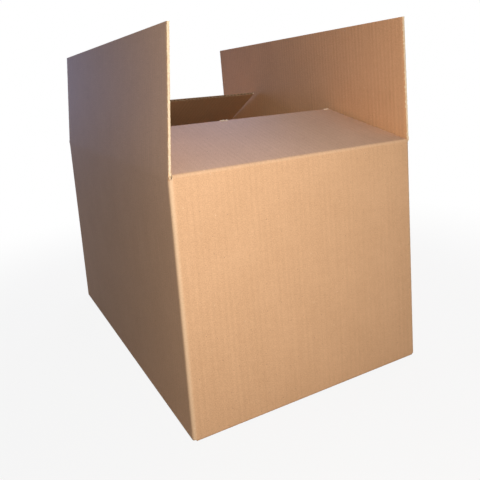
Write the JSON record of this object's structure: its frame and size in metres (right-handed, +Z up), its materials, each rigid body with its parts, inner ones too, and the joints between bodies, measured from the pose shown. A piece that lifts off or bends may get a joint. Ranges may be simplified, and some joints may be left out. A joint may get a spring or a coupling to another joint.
{
  "type": "cardboard box",
  "caption": "Open slotted carton of brown corrugated board with a glued bottom and hinged top flaps, for packing and shipping goods.",
  "frame": {"origin": "middle of the base, on the surface that the carton stands on", "axes": "+Z up, +Y along the length towards the back short wall, +X across the width towards the right long wall"},
  "size_m": [0.38, 0.6, 0.52],
  "materials": {
    "kraft_board": "uncoated kraft liner, matt"
  },
  "bodies": {
    "carton": {"carton_body": "kraft_board"},
    "left_flap": {"long_flap_left": "kraft_board"},
    "right_flap": {"long_flap_right": "kraft_board"},
    "front_flap": {"short_flap_front": "kraft_board"},
    "back_flap": {"short_flap_back": "kraft_board"}
  },
  "joints": [
    {"name": "left_flap_crease", "type": "hinge", "parent": "carton", "child": "left_flap", "pos_m": [-0.188, 0, 0.342], "axis": [0, -1, 0], "range_deg": [-1, 130]},
    {"name": "right_flap_crease", "type": "hinge", "parent": "carton", "child": "right_flap", "pos_m": [0.188, 0, 0.342], "axis": [0, 1, 0], "range_deg": [-5.2, 125.8]},
    {"name": "front_flap_crease", "type": "hinge", "parent": "carton", "child": "front_flap", "pos_m": [0, -0.298, 0.342], "axis": [1, 0, 0], "range_deg": [-14, 12.5]},
    {"name": "back_flap_crease", "type": "hinge", "parent": "carton", "child": "back_flap", "pos_m": [0, 0.298, 0.342], "axis": [-1, 0, 0], "range_deg": [-25, 1.5]}
  ]
}
